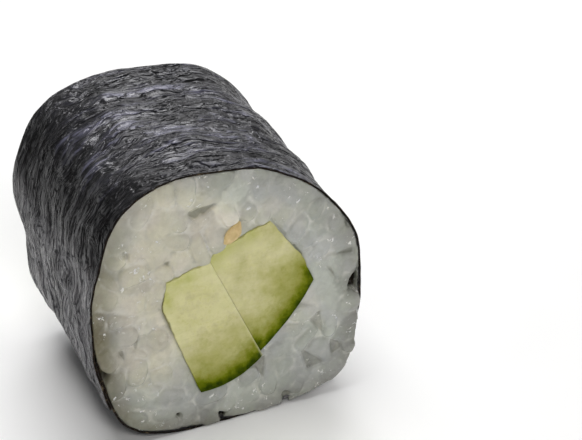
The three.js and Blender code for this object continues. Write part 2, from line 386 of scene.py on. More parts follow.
# Cucumber: pale wet flesh that turns green towards the peel, with a painted highlight as a pale line along
# the seam edge and painted shade as an olive line along the left edge. peelDepth is in millimetres, and
# tinge is 1 along the yellow-green upper left edge.
def cucumberMaterial():
    s = Shader("cucumber")
    wobble = s.noise(420, rough=0.6)
    patches = s.noise(170, detail=2)
    speckle = s.noise((1900, 900, 1900), rough=0.6)
    teeth = s.noise(1000, rough=0.6)
    streaks = s.noise((260, 260, 900), rough=0.6, turn=(0, 0.5, 0))
    depth = s.times(s.attribute("peelDepth"), s.remap(wobble, 0.25, 0.75, 0.82, 1.22))
    depth = s.times(depth, s.remap(patches, 0.3, 0.7, 0.92, 1.1))
    depth = s.plus(depth, s.remap(teeth, 0.35, 0.65, -0.25, 0.25))
    depth = s.times(depth, s.remap(speckle, 0.3, 0.7, 0.88, 1.14))
    flesh = s.ramp(s.maths("DIVIDE", depth, 9), [
        (0, (0.03, 0.052, 0.0003)),
        (0.03, (0.066, 0.096, 0.0006)),
        (0.07, (0.115, 0.15, 0.0015)),
        (0.11, (0.184, 0.215, 0.008)),
        (0.155, (0.258, 0.28, 0.032)),
        (0.24, (0.365, 0.365, 0.09)),
        (0.47, (0.525, 0.512, 0.2)),
        (0.78, (0.69, 0.655, 0.36)),
        (1, (0.78, 0.75, 0.42)),
    ])
    tinge = s.times(s.attribute("tinge"), s.remap(wobble, 0.3, 0.7, 0.4, 0.9))
    flesh = s.mix(tinge, flesh, (0.48, 0.5, 0.09))
    # Painted highlight: a pale line along the seam edge of the left stick
    flesh = s.mix(s.attribute("lipHighlight"), flesh, (0.8, 0.78, 0.47))
    # Painted shade: an olive line along the left edge of each stick
    edgeShade = s.plus(s.attribute("edgeShade"), s.remap(wobble, 0.3, 0.7, -0.12, 0.12))
    flesh = s.mix(s.remap(edgeShade, 0.5, 0.8), flesh, (0.13, 0.12, 0.02))
    flesh = s.mix(s.remap(speckle, 0.45, 0.75, 0, 0.35), flesh, (0.72, 0.72, 0.42), "MULTIPLY")
    pale = s.times(s.remap(patches, 0.42, 0.62, 0, 0.25), s.remap(depth, 2, 5))
    flesh = s.mix(pale, flesh, (0.88, 0.85, 0.56))
    flesh = s.mix(s.remap(streaks, 0.4, 0.65, 0, 0.3), flesh, (0.82, 0.84, 0.6), "MULTIPLY")
    normal = s.bump(s.noise(800, detail=4, rough=0.6), 0.00012, 0.7)
    return s.finish(flesh, s.remap(wobble, 0.3, 0.7, 0.24, 0.4), normal, IOR=1.38, Specular_IOR_Level=0.04,
                    Subsurface_Weight=0.3, Subsurface_Radius=(1.2, 1.3, 0.3), Subsurface_Scale=0.0003)


def sesameMaterial():
    s = Shader("sesame")
    grit = s.noise(1500)
    colour = s.ramp(grit, [(0.3, (0.63, 0.46, 0.2)), (0.7, (0.8, 0.62, 0.32))])
    return s.finish(colour, 0.42, s.bump(grit, 0.00008, 0.6), IOR=1.45, Subsurface_Weight=0.3,
                    Subsurface_Radius=(0.8, 0.6, 0.3), Subsurface_Scale=0.0006)


# Relief of the soaked sheet: grains press through it, and creases run round the roll.
def noriRelief(angle, along, radius):
    turn = math.radians(angle)
    around = Vector((radius * math.cos(turn), 0, radius * math.sin(turn)))
    ahead = Vector((0, along, 0))
    elsewhere = Vector((3, 0, 0))
    lump = noise.noise((around + ahead) / nori["lumpSize"])
    run = around / nori["wrinkleRun"]
    crease = noise.noise(run + ahead / nori["wrinkleGap"])
    fine = noise.noise(run * nori["fineRun"] + ahead / nori["wrinkleGap"] * nori["fineGap"])
    slack = noise.noise((around + ahead) / nori["swellSize"] + elsewhere) - nori["swellDown"]
    slack *= nori["swell"] * smoothStep(halfLength - abs(along), 0, nori["swellReach"])
    wrinkle = crease * nori["wrinkleShare"] - abs(fine) * nori["fineShare"]
    relief = nori["lump"] * lump + nori["wrinkle"] * wrinkle
    nearRim = smoothStep(abs(along), halfLength - nori["tightReach"], halfLength)
    return slack + relief * (1 - (1 - nori["tight"]) * nearRim)


# How dark a place of the sheet is painted: wetter sheet, and painted shade, most along the ridge
def wetAndShadeAt(angle, along):
    return max(amount * hump(turnBetween(at, angle) / spread) * hump((along - place) / reach)
               for at, place, amount, spread, reach in nori["wetAndShade"])


# The sheet is a flat grid that is rolled up round the rice.
def makeNori():
    bm = bmesh.new()
    bmesh.ops.create_grid(bm, x_segments=nori["columns"], y_segments=nori["rows"], size=0.5)
    wetAndShade = bm.verts.layers.float.new("wetAndShade")
    flat = np.array([v.co for v in bm.verts])
    share = flat[:, 0] + 0.5
    along = flat[:, 1] * roll["length"]
    rolled = (360 + nori["lapSweep"]) * share + nori["lapSkew"] * along * share ** 4
    angle = nori["lapAt"] + rolled
    lift = smoothStep(rolled, 360 - nori["rise"], 360) * (nori["thickness"] + nori["lapGap"])
    radius = wrapRadius(angle, along) - nori["thickness"]
    lowest = nori["thickness"] + nori["clearFloor"] - roll["axisHeight"]
    for v, a, y, r, up in zip(bm.verts, angle, along, radius, lift):
        turn = math.radians(a)
        edge = max(0, abs(y) / halfLength - 1 + nori["frayShare"]) / nori["frayShare"]
        fray = noise.noise(Vector((math.cos(turn), y, math.sin(turn))) * roll["radius"] / nori["fraySize"])
        y -= math.copysign(edge * nori["fray"] * (0.5 + fray), y)
        atFront = smoothStep(-y, halfLength - nori["shortReach"], halfLength)
        y += nori["short"] * (overhangAt(a) * atFront)
        r += up + noriRelief(a, y, r)
        v.co = toFrame(r * math.cos(turn), y, max(r * math.sin(turn), lowest))
        v[wetAndShade] = wetAndShadeAt(a, y)
    bmesh.ops.recalc_face_normals(bm, faces=bm.faces)
    bmesh.ops.solidify(bm, geom=bm.faces[:], thickness=nori["thickness"] * mm)
    bmesh.ops.recalc_face_normals(bm, faces=bm.faces)
    for face in bm.faces:
        atRim = abs(face.calc_center_median().y) > (halfLength - nori["rim"]) * mm
        if atRim and abs(face.normal.y) > 0.75:
            face.material_index = 1
    obj = makeObject("noriWrap", bm, noriMaterial())
    obj.data.materials.append(noriCutMaterial())
    dress(obj, "nori_wrap")


# Sections of the two cucumber sticks, millimetres from the axis, counter-clockwise from the front.
# peel: its two ends. bow: how far it bows out. The sides are followed from the peel to the core.
# green: where the green goes on past both ends of the peel. ripe: how deep it stays dark.
# pale: how deep the flesh still turns paler. tinge: edge that is yellow-green.
# proud: how far the front stands out at the peel and at the core. seam: the side that meets the
# other stick. Then how strong the painted highlight is, a pale line at the right edge, and the painted
# shade, an olive line at the left edge.
sticks = {
    "cucumberLeft": {
        "node": "cucumber_stick_left",
        "ripe": 0.4,
        "pale": 9,
        "peel": [(-4.25, -12.4), (4.1, -9.2)],
        "bow": 0.95,
        "right": [(4.1, -9.2), (-2.66, 5.84)],
        "left": [(-4.25, -12.4), (-9.05, 0.6), (-8.25, 4.2)],
        "proud": (0.14, -0.25),
        "seam": 1,
        "lipHighlight": 0.6,
        "edgeShade": 0.9,
        "green": ([], []),
        "tinge": [(-8.7, 1.6), (-7.9, 3.9), (-5.2, 4.6)],
    },
    "cucumberRight": {
        "node": "cucumber_stick_right",
        "ripe": 0,
        "pale": 6.5,
        "peel": [(3.9, -8.64), (11.15, -0.2)],
        "bow": 0.5,
        "right": [(11.15, -0.2), (9.95, 3.1), (5.4, 9.5)],
        "left": [(3.9, -8.64), (-2.64, 5.82), (-1.75, 7.1)],
        "proud": (-0.04, -0.2),
        "seam": 0,
        "lipHighlight": 0,
        "edgeShade": 0.5,
        "green": ([(3.4, -7.5)], [(10.9, 0.7)]),
        "tinge": [(-2.3, 5.7), (-1.4, 6.7), (2.3, 8.0)],
    },
}
stickRun = {
    "drift": 0.6,     # sideways on the way to the back
    "turn": 2,        # degrees on the way to the back
    "across": 32,     # cuts of the grid
    "deep": 44,
    "long": 30,
    "edge": 0.04,     # how far the knife's edges are rounded
    "tinge": 1.3,
    "lipHighlight": 1 / 32,    # how wide the painted highlight's pale line is, as a share of the stick,
    "edgeShade": 1 / 14, # and the painted shade's olive line,
    "edgeShadeAt": 0.74, # which is strongest this deep
    "edgeShadeSpread": 0.28,
    "endWave": 0.12,  # unevenness of the cut ends
    "endSize": 2.2,
    "rag": 0.25,      # ragged at the core
    "ragSize": 1.1,
    "wave": 0.2,      # wavy along the sides, in long waves and short ones
    "waveLong": 2.4,
    "waveShort": 0.9,
}


# A stick drifts a little sideways and turns a little on its way to the back.
def alongStick(x, z, along):
    share = along / roll["length"] + 0.5
    turn = math.radians(stickRun["turn"] * share)
    shiftedX = x * math.cos(turn) - z * math.sin(turn) + stickRun["drift"] * share
    return shiftedX, x * math.sin(turn) + z * math.cos(turn)


def alongPath(points, share):
    points = [Vector(p) for p in points]
    runs = [(b - a).length for a, b in zip(points, points[1:])]
    goal = share * sum(runs)
    for start, end, run in zip(points, points[1:], runs):
        if goal <= run + 1e-9:
            return start.lerp(end, goal / run)
        goal -= run
    return points[-1]


# A point of the section: across from the left side to the right one, deep from the peel inwards.
def inSection(stick, across, deep):
    first, last = (Vector(p) for p in stick["peel"])
    outwards = Vector((last.y - first.y, first.x - last.x)).normalized()
    peel = first.lerp(last, across) + outwards * stick["bow"] * 4 * across * (1 - across)
    left = alongPath(stick["left"], deep)
    right = alongPath(stick["right"], deep)
    top = Vector(stick["left"][-1]).lerp(Vector(stick["right"][-1]), across)
    corners = first.lerp(last, across) * (1 - deep) + top * deep
    return peel * (1 - deep) + top * deep + left * (1 - across) + right * across - corners


def stickOutline(stick, along, step=0.05):
    shares = [i * step for i in range(round(1 / step))]
    loop = [inSection(stick, t, 0) for t in shares] + [inSection(stick, 1, t) for t in shares]
    loop += [inSection(stick, 1 - t, 1) for t in shares] + [inSection(stick, 0, 1 - t) for t in shares]
    return [alongStick(p.x, p.y, along) for p in loop]


def distanceTo(path, x, z):
    best = 1e9
    point = Vector((x, z))
    for a, b in zip(path, path[1:]):
        a, b = Vector(a), Vector(b)
        share = max(0, min(1, (point - a).dot(b - a) / (b - a).length_squared))
        best = min(best, (point - a.lerp(b, share)).length)
    return best


# A crate cut into a fine grid, then drawn to the stick's section and run.
def makeStick(name, stick, material):
    bm = bmesh.new()
    bmesh.ops.create_cube(bm, size=1)
    for axis, cuts in enumerate((stickRun["across"], stickRun["long"], stickRun["deep"])):
        edges = [e for e in bm.edges if abs(e.verts[0].co[axis] - e.verts[1].co[axis]) > 0.5]
        bmesh.ops.subdivide_edges(bm, edges=edges, cuts=cuts, use_grid_fill=True)
    names = ("peelDepth", "tinge", "lipHighlight", "edgeShade")
    peelDepth, tinge, lipHighlight, edgeShade = (bm.verts.layers.float.new(key) for key in names)
    before, after = stick["green"]
    green = before + [tuple(inSection(stick, i / 10, 0)) for i in range(11)] + after
    middle = inSection(stick, 0.5, 0.5)
    proudPeel, proudCore = stick["proud"]
    for v in bm.verts:
        across, deep = v.co.x + 0.5, v.co.z + 0.5
        along = v.co.y * roll["length"]
        p = inSection(stick, across, deep)
        atLip = max(0, 1 - (1 - across) / stickRun["lipHighlight"]) * smoothStep(1 - deep, 0.1, 0.4)
        atEdgeShade = max(0, 1 - across / stickRun["edgeShade"])
        atEdgeShade *= hump((deep - stickRun["edgeShadeAt"]) / stickRun["edgeShadeSpread"])
        v[peelDepth] = min(stick["pale"], max(0, distanceTo(green, p.x, p.y) - stick["ripe"]))
        v[tinge] = hump(distanceTo(stick["tinge"], p.x, p.y) / stickRun["tinge"])
        v[lipHighlight] = stick["lipHighlight"] * atLip
        v[edgeShade] = stick["edgeShade"] * atEdgeShade
        if abs(v.co.y) > 0.499:
            end = noise.noise(Vector((p.x, 0, p.y)) / stickRun["endSize"])
            along += math.copysign(stickRun["endWave"] * end, along)
        if v.co.y < -0.499:
            along -= proudPeel + (proudCore - proudPeel) * deep
        place = Vector((p.x, along, p.y))
        rag = 0.3 + noise.noise(place / stickRun["ragSize"])
        wave = 0.4 + 0.7 * noise.noise(place / stickRun["waveLong"])
        wave += 0.8 * noise.noise(place / stickRun["waveShort"])
        rag *= stickRun["rag"] * smoothStep(deep, 0.8, 1)
        rag += stickRun["wave"] * wave * smoothStep(deep, 0, 0.2)
        rag *= smoothStep(abs(across - stick["seam"]), 0, 0.15)
        p = p.lerp(middle, max(0, rag) / max(0.1, (p - middle).length))
        x, z = alongStick(p.x, p.y, along)
        v.co = toFrame(x, along, z)
    bm.normal_update()
    bmesh.ops.recalc_face_normals(bm, faces=bm.faces)
    rims = [e for e in bm.edges if e.calc_face_angle(0) > 0.6]
    bmesh.ops.bevel(bm, geom=rims, offset=stickRun["edge"] * mm, offset_type="OFFSET", segments=2,
                    profile=0.5, affect="EDGES", material=-1)
    dress(makeObject(name, bm, material), stick["node"])


rice = {
    "clearWall": 0.02,
    "clearFloor": 0.1,
    "sink": 0.9,          # room under the slack sheet, away from the rims
    "overhang": 0.2,      # how far the cut grains swell over the sheet's rim,
    "bulge": 0.6,         # and how much more at the lower right
    "grainWide": 3.0,
    "grainLong": 5.1,
    "thick": (0.84, 0.96),
    "boxy": 2.8,          # 2 is an ellipsoid, and more is squarer
    "sizeSpread": 0.14,
    "longSpread": 0.08,
    "count": 84,          # grains that show at each cut face
    "lying": 0.92,        # share of them that lie along the cut
    "dipKey": (2, 10),    # degrees that grains dip into the roll: those that stand out,
    "dipLying": (0, 24),  # the others that lie,
    "dipStanding": (55, 88),
    "proudLying": (-0.02, 0.5),
    "proudStanding": (0.6, 1.4),
    "squeeze": 0.86,      # how close two grains are pressed
    "soft": 16,           # how sharp the edges between pressed grains are
    "rank": 0.22,         # how much more room one grain takes than its neighbour
    "rankKey": 1.3,
    "dent": 0.035,        # soft dents in each grain
    "dentWaves": 1.7,
    "neighbours": 10,
    "knife": 0.1,         # waves of the cut
    "knifeSize": 5.5,
    "stand": 0.3,         # how far a grain stands in front of the cut or behind it
    "tilt": 0.15,
    "lap": 0.08,          # how far the grains lap over the edges of the sticks,
    "ragged": 0.75,       # and how much more at the cores
    "cling": 0.2,         # how far the film reaches into the sides of the sticks
    "skin": 2.4,          # how deep the fused grains of a cut face reach in
    "skinLap": 0.4,
    "film": 0.2,          # the starchy film between the grains lies this far behind the cut,
    "filmLeft": 0.09,     # and this much further on the left
    "filmSwell": 0.24,
    "rimWide": 5,         # how far from the wrap the rice has painted shade,
    "brownWide": 3.6,     # and is browner,
    "brownAt": 188,       # most on the left
    "brownSpread": 45,
    "voxels": {-1: 0.166, 1: 0.2},
    "seed": 11,
}

# How the grains find room: least distances of a new grain's middle, then rounds of pushing
packing = {
    "tries": 5000,
    "clearStick": 0.6,
    "clearGrain": 1.9,
    "giveWay": 0.0002,    # how much closer the next grain may be after each try
    "rounds": 220,
    "pace": 0.3,
    "stride": 0.4,
    "stickRoom": 0.9,     # share of a grain's half width that stays clear of a stick
    "wallRoom": 0.92,
}

# Grains that stand out at the front face: x, z, turn of the long axis, length, width.
faceGrains = [
    (-8.8, 12.2, 55, 4.6, 2.9),
    (-9.4, 8.1, 165, 4.0, 3.0),
    (-12.2, 6.2, 5, 4.4, 2.8),
    (-12.9, 2.4, 175, 4.6, 3.4),
    (-13.6, -2.0, 165, 3.4, 2.8),
    (-10.0, -3.6, 5, 4.2, 3.4),
    (-12.3, -7.3, 80, 4.4, 2.8),
    (-9.1, -8.8, 10, 3.4, 2.8),
    (-6.9, -8.6, 80, 4.6, 2.3),
    (-12.8, -11.5, 160, 4.6, 2.6),
    (-8.2, -12.0, 165, 4.4, 2.4),
    (-9.3, -14.6, 170, 4.2, 2.4),
    (7.6, 14.0, 5, 5.4, 3.4),
    (15.5, 4.6, 70, 3.8, 2.9),
    (15.9, 0.6, 165, 3.4, 2.7),
    (16.2, -4.9, 5, 3.6, 2.7),
    (13.6, -7.1, 80, 4.4, 2.0),
    (16.2, -8.8, 40, 4.0, 2.8),
    (12.0, -10.4, 5, 3.6, 3.2),
    (7.5, -12.9, 85, 5.6, 3.2),
    (14.0, -14.2, 60, 4.6, 3.0),
]

# Gaps between the grains: three corners (x, z), how far in they reach, and how dark their painted shade is
faceGaps = [
    ([(-5.3, 12.7), (-4.2, 11.9), (-3.2, 12.8)], 0.9, 0.62),
    ([(-4.2, 12.9), (-3.2, 12.3), (-1.8, 13.2)], 0.9, 0.62),
    ([(-13.8, 10.3), (-13.3, 8.5), (-12.6, 8.6)], 0.7, 0.35),
    ([(-8.3, 6.8), (-8.0, 6.3), (-7.8, 6.8)], 0.6, 0.4),
    ([(-12.6, -3.0), (-12.4, -4.5), (-12.1, -3.0)], 0.6, 0.4),
    ([(-14.6, -4.1), (-13.9, -5.3), (-14.1, -4.0)], 0.7, 0.5),
    ([(-17.4, -5.2), (-16.7, -8.3), (-16.0, -6.9)], 1.4, 0.8),
    ([(-9.28, 0.7), (-6.3, -7.0), (-9.0, 0.6)], 0.35, 0.3),
    ([(-7.3, -15.2), (-6.9, -15.8), (-6.5, -15.3)], 1.2, 0.9),
    ([(-2.0, -17.2), (-0.6, -17.4), (-1.3, -16.2)], 1.5, 1),
    ([(3.2, -10.5), (4.3, -12.8), (4.6, -9.8)], 0.6, 0.4),
    ([(7.1, -15.9), (7.2, -17.3), (8.5, -16.3)], 0.9, 0.5),
    ([(9.6, -10.2), (10.5, -13.2), (12.7, -12.9)], 0.7, 0.34),
    ([(10.9, -5.9), (12.6, -8.5), (12.2, -5.3)], 0.6, 0.33),
    ([(13.7, -9.8), (13.8, -12.0), (15.7, -11.1)], 0.7, 0.35),
    ([(15.7, -2.6), (18.3, -3.8), (17.9, -0.3)], 1.9, 1),
    ([(13.1, 1.0), (14.1, -0.5), (13.7, 0.7)], 0.5, 0.35),
    ([(14.3, 2.5), (16.6, 2.2), (16.5, 2.8)], 0.6, 0.38),
    ([(15.6, 6.9), (15.9, 6.3), (16.3, 6.8)], 1.2, 0.9),
    ([(8.5, 5.3), (9.6, 3.5), (9.65, 3.65)], 0.6, 0.7),
    ([(5.5, 9.6), (7.4, 6.8), (7.6, 7.0)], 0.35, 0.35),
]


# Only the front face has gaps of its own.
def gapsAt(side):
    return faceGaps if side < 0 else []


# Where the rice ends under the sheet: sunk in the middle of the roll, swollen at the cut faces
def wallRadius(angle, along):
    swollen = smoothStep(np.abs(along), halfLength - 0.25, halfLength - 0.05) * rice["overhang"]
    bulge = smoothStep(-along, halfLength - 0.7, halfLength - 0.45) * rice["bulge"]
    swollen = swollen + bulge * overhangAt(angle)
    sunk = rice["sink"] * smoothStep(halfLength - np.abs(along), 0.3, 4)
    return wrapRadius(angle, along) - nori["thickness"] - rice["clearWall"] + swollen - sunk


def insideWall(x, along, z):
    return wallRadius(np.degrees(np.arctan2(z, x)), along) - np.hypot(x, z)


# Signed distance to an outline of the section, more than 0 outside.
def outsideOf(outline, x, z):
    points = np.array(outline)
    nexts = np.roll(points, -1, axis=0)
    edge = nexts - points
    length = np.hypot(edge[:, 0], edge[:, 1])
    keep = length > 1e-6
    points, edge, length = points[keep], edge[keep], length[keep]
    normal = np.stack([edge[:, 1], -edge[:, 0]], 1) / length[:, None]
    away = (x[..., None] - points[:, 0]) * normal[:, 0] + (z[..., None] - points[:, 1]) * normal[:, 1]
    which = away.argmax(-1)
    return away.max(-1), normal[which]


# First places for the grains of a cut face, as rows: x, z, turn, length, width, dip, and whether
# the grain is one of those that stand out
def scatterGrains(side, dice, outlines):
    grains = []
    for x, z, turn, long, wide in (faceGrains if side < 0 else []):
        dip = math.radians(dice.uniform(*rice["dipKey"]))
        grains.append((x, z, math.radians(turn), long, wide, dip, True))
    for tries in range(1, packing["tries"] + 1):
        if len(grains) == rice["count"]:
            break
        angle, reach = dice.uniform(0, 360), math.sqrt(dice.random())
        edge = wallRadius(angle, side * halfLength) - rice["grainWide"] / 2
        turn = math.radians(angle)
        x, z = reach * edge * math.cos(turn), reach * edge * math.sin(turn)
        free = min(outsideOf(outline, np.array(x), np.array(z))[0] for outline in outlines)
        near = min([math.hypot(x - grain[0], z - grain[1]) for grain in grains] or [math.inf])
        if free < packing["clearStick"] or near < packing["clearGrain"] - tries * packing["giveWay"]:
            continue
        size = 1 + dice.uniform(-1, 1) * rice["sizeSpread"]
        turn = dice.uniform(0, math.pi)
        long = rice["grainLong"] * size * dice.uniform(1 - rice["longSpread"], 1 + rice["longSpread"])
        dips = rice["dipLying"] if dice.random() < rice["lying"] else rice["dipStanding"]
        grains.append((x, z, turn, long, rice["grainWide"] * size, math.radians(dice.uniform(*dips)), False))
    return np.array(grains)


# How far things are pushed off others that lie closer than they want
def pushApart(places, others, want):
    apart = places[:, None] - others[None]
    gap = np.hypot(apart[..., 0], apart[..., 1]) + 1e-6
    return (apart / gap[..., None] * np.clip(want - gap, 0, None)[..., None]).sum(1)


# Spreads the grains over a cut face: three discs for each are pushed off all that is near.
def packGrains(side, dice):
    along = side * halfLength
    outlines = [stickOutline(stick, along) for stick in sticks.values()]
    grains = scatterGrains(side, dice, outlines)
    place, (turn, long, wide, dip, key) = grains[:, :2], grains[:, 2:].T
    run = (long - wide) / 2 * np.cos(dip)
    radius = np.repeat(wide / 2, 3)
    owner = np.repeat(np.arange(len(place)), 3)
    want = (radius[:, None] + radius[None]) * rice["squeeze"] * (owner[:, None] != owner[None])
    gapPlace = np.array([np.mean(corners, axis=0) for corners, *_ in gapsAt(side)]).reshape(-1, 2)
    gapRadius = np.array([np.ptp(corners, axis=0).min() / 3 for corners, *_ in gapsAt(side)])
    for _ in range(packing["rounds"]):
        axis = np.stack([np.cos(turn), np.sin(turn)], 1) * run[:, None]
        discs = np.stack([place - axis, place, place + axis], 1).reshape(-1, 2)
        move = pushApart(discs, discs, want) * 0.5
        move += pushApart(discs, gapPlace, radius[:, None] + gapRadius[None])
        for outline in outlines:
            away, normal = outsideOf(outline, discs[:, 0], discs[:, 1])
            clings = lapOver(np.insert(discs, 1, 0, axis=1))
            move += normal * np.clip(radius * packing["stickRoom"] - clings - away, 0, None)[:, None]
        angle = np.degrees(np.arctan2(discs[:, 1], discs[:, 0]))
        reach = np.hypot(discs[:, 0], discs[:, 1]) + 1e-6
        over = np.clip(reach + radius * packing["wallRoom"] - wallRadius(angle, along), 0, None)
        move -= discs / reach[:, None] * over[:, None]
        move = move.reshape(-1, 3, 2)
        shift = np.clip(move.sum(1) * packing["pace"], -packing["stride"], packing["stride"])
        spin = ((move[:, 2] - move[:, 0]) * np.stack([-np.sin(turn), np.cos(turn)], 1)).sum(1)
        place = place + np.where(key[:, None], 0, shift)
        turn = turn + np.where((key > 0) | (run < 0.3), 0, spin / (2 * run + 1) * packing["pace"])
    return np.column_stack((place, turn, long, wide, dip, key)).tolist()


# A grain's place and its three half axes, as rows, in roll coordinates (x, along, z).
def grainFrame(grain, side, dice):
    x, z, turn, long, wide, dip, _ = grain
    long, wide = long / 2, wide / 2
    thick = wide * dice.uniform(*rice["thick"])
    lean = Vector((math.cos(turn) * math.cos(dip), -side * math.sin(dip), math.sin(turn) * math.cos(dip)))
    flat = Vector((-math.sin(turn), 0, math.cos(turn)))
    up = lean.cross(flat)
    deep = math.sqrt((long * math.sin(dip)) ** 2 + (thick * math.cos(dip)) ** 2)
    lying = dip < math.radians(rice["dipStanding"][0]) - 0.01
    proud = dice.uniform(*(rice["proudLying"] if lying else rice["proudStanding"]))
    along = side * (halfLength - deep + proud)
    return Vector((x, along, z)), lean * long, flat * wide, up * thick


def knifePlane(x, z, side):
    return halfLength - 0.02 + rice["knife"] * noise.noise(Vector((x, side * 7, z)) / rice["knifeSize"])


# How far out a rule stays true, for many rays at once, by halving what is left
def furthest(rule, shape, limit, rounds):
    low, high = np.zeros(shape), np.full(shape, limit)
    for _ in range(rounds):
        half = (low + high) / 2
        good = rule(half)
        low, high = np.where(good, half, low), np.where(good, high, half)
    return low


# How far along each ray from a grain's middle a rule stays above 0
def reachAlong(rule, centre, ray):
    return furthest(lambda out: rule(centre + ray * out[..., None], out) > 0, ray.shape[:-1], 1.5, 13)


# The grains cling to the sticks: they lap over their edges, most unevenly at the cores.
def lapOver(points):
    x, z = points[..., 0], points[..., 2]
    rough = np.sin(5.3 * x + 1.9 * z) * np.sin(6.1 * z - 2.3 * x + 1) + np.sin(2.3 * x - 3.1 * z)
    return rice["lap"] + rice["ragged"] * smoothStep(z - 0.3 * x, 2, 6) * np.clip(0.35 + 0.4 * rough, 0, 1)


# Presses the grains of one face together: each ray from a grain's middle ends where its neighbour,
# the wrap, a stick or the knife stops it. The limits are blended, so that the edges stay round.
def pressGrains(grains, side, dice, bm, layer):
    frames = [grainFrame(g, side, dice) for g in grains]
    centres = np.array([f[0] for f in frames])
    ranks = [1 + rice["rank"] * (rice["rankKey"] if key else dice.uniform(-1, 1)) for *_, key in grains]
    axes = np.array([f[1:] for f in frames])
    inverse = np.linalg.inv(axes)
    outlines = [(stickOutline(stick, side * halfLength), 1) for stick in sticks.values()]
    outlines += [(corners, 0) for corners, *_ in gapsAt(side)]
    power, soft = rice["boxy"], rice["soft"]

    def grainSize(index, points):
        local = np.abs((points - centres[index]) @ inverse[index])
        return (local ** power).sum(-1) ** (1 / power)

    for i, origin in enumerate(centres):
        made = bmesh.ops.create_icosphere(bm, subdivisions=3, radius=1)["verts"]
        unit = np.array([v.co for v in made])
        size = (np.abs(unit) ** power).sum(1) ** (1 / power)
        ray = (unit / size[:, None]) @ axes[i]
        dents = [noise.noise(Vector(u) * rice["dentWaves"] + Vector((i, side, 0))) for u in unit]
        ray = ray * (1 + rice["dent"] * np.array(dents))[:, None]
        rules = []
        nearby = np.hypot(*(centres - origin).T[[0, 2]])
        for j in np.argsort(nearby)[1:rice["neighbours"] + 1]:
            if nearby[j] < 6:
                rules.append(lambda p, s, j=j: grainSize(j, p) / ranks[j] - s / ranks[i])
        rules.append(lambda p, s: insideWall(p[..., 0], p[..., 1], p[..., 2]))
        for outline, laps in outlines:
            if outsideOf(outline, origin[0:1], origin[2:3])[0][0] < 3.5:
                rules.append(lambda p, s, outline=outline, laps=laps:
                             outsideOf(outline, p[..., 0], p[..., 2])[0] + laps * lapOver(p))
        plane = knifePlane(origin[0], origin[2], side) + rice["stand"] * dice.uniform(-1, 1)
        slope = rice["tilt"] * np.array([dice.gauss(0, 1), 0, dice.gauss(0, 1)])
        rules.append(lambda p, s: plane + (p - origin) @ slope - side * p[..., 1])
        limits = np.clip([reachAlong(rule, origin, ray) for rule in rules], 0.05, None)
        share = ((limits ** -soft).sum(0) + 1) ** (-1 / soft)
        points = origin + ray * share[:, None]
        points[:, 2] = np.maximum(points[:, 2], rice["clearFloor"] - roll["axisHeight"])
        tone = dice.random()
        for v, p in zip(made, points):
            v.co = toFrame(*p)
            v[layer] = tone


core = {"middle": (1.0, -1.0), "around": 300, "faceSteps": 36, "wallSteps": 8, "clearFloor": 0.02}


# How far a rule stays true along rays from the core's middle, one ray for each turn.
def reachOut(turns, rule, limit):
    x, z = core["middle"]
    onRay = lambda out: rule(x + out * np.cos(turns), z + out * np.sin(turns))
    return furthest(onRay, turns.shape, limit, 22)


# Rice near the wrap gets painted shade (first value), and is browner, most on the left (second value)
def rimShadeAndBrown(x, along, z):
    inwards = insideWall(x, along, z)
    left = hump(turnBetween(rice["brownAt"], np.degrees(np.arctan2(z, x))) / rice["brownSpread"])
    brownNearWrap = smoothStep(rice["brownWide"] - inwards, 0, 3) * (0.12 + 0.88 * left)
    return smoothStep(rice["rimWide"] - inwards, 0, rice["rimWide"]), brownNearWrap


# How dark the painted shade is at a place because it lies in a gap
def gapShade(x, z, height, side):
    shade = np.zeros(len(x))
    for corners, drop, dark in gapsAt(side):
        away = outsideOf(corners, x, z)[0]
        inside = smoothStep(0.2 - away, 0, 0.2) * smoothStep(halfLength - height, 0.35 * drop, 0.85 * drop)
        shade = np.maximum(shade, dark * inside)
    return shade


# How far behind the cut the film between the grains lies, which drops at the gaps
def filmDepth(x, z, side):
    swell = [noise.noise(Vector((a, side * 5, b)) / 3.2) + 0.4 * noise.noise(Vector((a, side * 9, b)) / 1.1)
             for a, b in zip(x, z)]
    film = rice["film"] + rice["filmLeft"] * smoothStep(-x, -4, 7)
    depth = np.clip(film + rice["filmSwell"] * np.array(swell), 0.02, None)
    for corners, drop, _ in gapsAt(side):
        away = outsideOf(corners, x, z)[0]
        depth = np.maximum(depth, drop * smoothStep(0.3 - away, 0, 0.25))
    return depth


